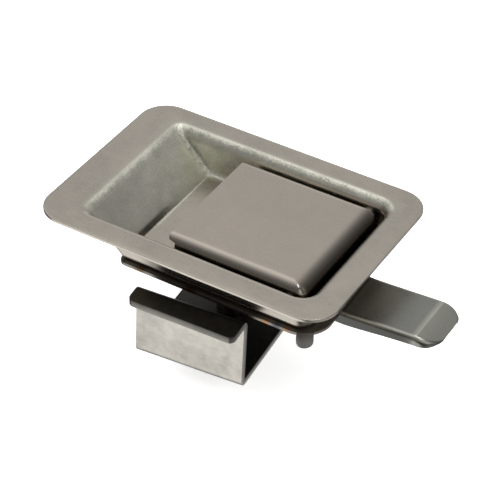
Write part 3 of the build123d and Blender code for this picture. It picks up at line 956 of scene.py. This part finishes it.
def plate_metal():
    """The back plate, with heat tint left by the spot welds along its edge."""
    metal = Metal("plate_steel", (0.27, 0.245, 0.22), 0.36)
    metal.shade(metal.noise(6.0, 4.0), 0.45, 0.10)
    metal.shade(metal.noise(1.2, 3.0, (1.0, 6.0, 6.0)), 0.18, 0.12, 0.4)
    welds = (
        (1.0, -25.4, 3.6, (0.17, 0.085, 0.04)),
        (26.0, -25.4, 1.6, (0.40, 0.22, 0.11)),
        (29.4, -25.2, 1.9, (0.12, 0.125, 0.145)),
        (32.8, -25.0, 1.1, (0.38, 0.21, 0.11)),
        (-16.0, -24.8, 3.0, (0.15, 0.10, 0.06)),
        (14.0, 25.4, 4.0, (0.20, 0.10, 0.05)),
        (-15.0, 25.0, 3.0, (0.11, 0.11, 0.14)),
    )
    for x, y, size, colour in welds:
        metal.blend(metal.near(x, y, -13, (size, 2.0, 2)), colour)
    for side in (-1, 1):
        metal.blend(metal.near(38.5, side * 24.6, -17.4, (5, 4, 4.2)), (0.36, 0.355, 0.335))
    return metal.finish(6.0)


# ---------------------------------------------------------------- floor, light and camera
def build_stage():
    floor_z = CAD_BOX[0].z - 0.2 * MM
    reach = 3.0
    signs = ((-1, -1), (1, -1), (1, 1), (-1, 1))
    corners = [(reach * x, reach * y, floor_z) for x, y in signs]
    mesh = bpy.data.meshes.new("floor")
    mesh.from_pydata(corners, [], [(0, 1, 2, 3)])
    floor = bpy.data.objects.new("floor", mesh)
    bpy.context.scene.collection.objects.link(floor)
    made = bpy.data.materials.new("floor_paper")
    made.use_nodes = True
    tree = made.node_tree
    shader = tree.nodes["Principled BSDF"]
    shader.inputs["Roughness"].default_value = 0.9
    shader.inputs["Specular IOR Level"].default_value = 0.1
    fibre = tree.nodes.new("ShaderNodeTexNoise")
    fibre.inputs["Scale"].default_value = 900.0
    fibre.inputs["Detail"].default_value = 4.0
    tone = tree.nodes.new("ShaderNodeMapRange")
    tone.inputs["To Min"].default_value = 0.92
    tone.inputs["To Max"].default_value = 0.96
    tree.links.new(fibre.outputs["Fac"], tone.inputs["Value"])
    tree.links.new(tone.outputs["Result"], shader.inputs["Base Color"])
    shader.inputs["Emission Color"].default_value = (1, 1, 1, 1)
    shader.inputs["Emission Strength"].default_value = 0.6
    mesh.materials.append(made)
    floor.visible_glossy = False
    floor.visible_shadow = False


def build_light():
    """A broad overhead diffuser, a dimmer back wall and a dark front, as soft boxes in a studio give."""
    world = bpy.data.worlds.new("studio")
    world.use_nodes = True
    tree = world.node_tree
    background = tree.nodes["Background"]
    direction = tree.nodes.new("ShaderNodeTexCoord").outputs["Generated"]
    total = None
    boxes = (
        ((-0.45, 0.62, 0.64), 15, 52, 0.47),
        ((-0.38, 0.05, 0.92), 8, 36, 0.45),
        ((0.15, 0.12, 0.97), 3, 10, 7.0),
        ((0.56, 0.68, 0.46), 5, 34, 0.23),
        ((0.60, -0.42, 0.62), 8, 30, 0.8),
        ((-0.33, -0.68, -0.65), 18, 36, 1.2),
        ((-0.10, 0.70, -0.70), 20, 60, 0.45),
        ((0.75, -0.10, -0.65), 15, 45, 0.35),
        ((-0.38, -0.76, 0.50), 10, 42, 0.16),
        ((-0.30, 0.95, 0.08), 6, 24, 0.30),
    )
    for centre, inner, outer, strength in boxes:
        dot = tree.nodes.new("ShaderNodeVectorMath")
        dot.operation = "DOT_PRODUCT"
        tree.links.new(direction, dot.inputs[0])
        dot.inputs[1].default_value = Vector(centre).normalized()
        lobe = tree.nodes.new("ShaderNodeMapRange")
        lobe.interpolation_type = "SMOOTHSTEP"
        tree.links.new(dot.outputs["Value"], lobe.inputs["Value"])
        lobe.inputs["From Min"].default_value = math.cos(math.radians(outer))
        lobe.inputs["From Max"].default_value = math.cos(math.radians(inner))
        lobe.inputs["To Max"].default_value = strength
        add = tree.nodes.new("ShaderNodeMath")
        add.operation = "ADD"
        tree.links.new(lobe.outputs["Result"], add.inputs[0])
        if total is None:
            add.inputs[1].default_value = 0.09
        else:
            tree.links.new(total, add.inputs[1])
        total = add.outputs[0]
    tree.links.new(total, background.inputs["Strength"])
    background.inputs["Color"].default_value = (1, 1, 1, 1)
    bpy.context.scene.world = world
    # The paper on the floor gets its own light, so that the metal keeps its darker reflections.
    for name, x, y, z in (("paper_left", -0.9, -0.6, 1.3), ("paper_right", 0.9, 0.5, 1.3)):
        data = bpy.data.lights.new(name, "AREA")
        data.size = 1.6
        data.energy = 26
        lamp = bpy.data.objects.new(name, data)
        lamp.location = (x, y, z)
        lamp.rotation_euler = (-Vector((x, y, z))).to_track_quat("-Z", "Y").to_euler()
        lamp.visible_glossy = False
        bpy.context.scene.collection.objects.link(lamp)


def build_camera():
    azimuth = math.radians(29.67)
    elevation = math.radians(38.96)
    roll = math.radians(1.86)
    distance = 567.85
    field = math.radians(14.51)
    aim = Vector((8.4, -4.5, -9.0))
    level = math.cos(elevation)
    back = Vector((math.sin(azimuth) * level, -math.cos(azimuth) * level, math.sin(elevation)))
    data = bpy.data.cameras.new("camera")
    data.sensor_width = 36
    data.lens = data.sensor_width / 2 / math.tan(field / 2)
    camera = bpy.data.objects.new("camera", data)
    turn = (-back).to_track_quat("-Z", "Y").to_matrix().to_4x4() @ Matrix.Rotation(roll, 4, "Z")
    camera.matrix_world = Matrix.Translation((aim + back * distance) * MM) @ turn
    bpy.context.scene.collection.objects.link(camera)
    bpy.context.scene.camera = camera
    bpy.context.scene.view_settings.view_transform = "Standard"


# ---------------------------------------------------------------- the whole latch
build_camera()
pan = build_pan()
paddle = build_paddle()
bolt = build_bolt()
tab = build_bolt_tab()
bracket = build_bracket()
stud = build_stud()
coil = build_bolt_spring()
hinge_coil = build_paddle_spring()

# The fourth number of each sheet is the share of tone its painted shade takes away.
pan_steel = sheet_steel("pan_steel", (0.55, 0.505, 0.44), 0.29, 0.62, mottle=1.5)
paint(pan, pan_steel.finish(7.0))
paddle_steel = sheet_steel("paddle_steel", (0.57, 0.515, 0.45), 0.27, 0.88, mottle=0.6, patch=18.0)
paint(paddle, paddle_steel.finish(3.0))
bolt_steel = sheet_steel("bolt_steel", (0.33, 0.33, 0.305), 0.30, 0.35, sparkle=0.4)
paint(bolt, bolt_steel.finish(6.0))
bracket_steel = sheet_steel("bracket_steel", (0.515, 0.492, 0.442), 0.36, 0.64, mottle=4.2,
                            grain=(1.0, 1.0, 3.0), sparkle=0.2, patch=6.0)
paint(bracket, bracket_steel.finish(7.0))
paint(tab, plain_metal("tab_steel", (0.33, 0.33, 0.305), 0.32, 4.0))
zinc = plain_metal("zinc_plate", (0.50, 0.50, 0.48), 0.34, 4.0)
wire = plain_metal("spring_wire", (0.34, 0.34, 0.35), 0.28, 3.0)
paint(stud, zinc)
paint(coil, wire)
paint(hinge_coil, wire)


def plate_trim(p):
    """A move along X for a point of the plate: its right end is drawn in at the back, not at the front."""
    return -1.4 * ease((p.x - 35.5) / 2.0) * ease((p.y + 14) / 20)


rivet = plain_metal("rivet_metal", (0.48, 0.47, 0.45), 0.35, 2.0)
ground = plain_metal("pin_metal", (0.58, 0.58, 0.57), 0.25, 3.0)
collar = plain_metal("collar_metal", (0.26, 0.25, 0.24), 0.24, 3.0, (1.0, 1.0, 8.0))
paint(refined("back_plate", "housing", 0.22, trim=plate_trim), plate_metal())
paint(refined("bolt_guide", "housing", 0.2), zinc)
paint(refined("guide_rivets", "housing", 0.15), rivet)
paint(refined("guide_rod", "housing", 0.15), wire)
paint(refined("hinge_pin", "housing", 0.15), ground)
paint(refined("pin_clip", "housing", 0.1), wire)
paint(refined("paddle_arm", "paddle_lever", 0.25), zinc)
paint(refined("clamp_collar", "bracket", 0.25), collar)
for washer in ("plain_washer", "lock_washer"):
    paint(refined(washer, "washers", 0.15), zinc)
paint(refined("clamp_nut", "nut", 0.15), zinc)

build_stage()
build_light()
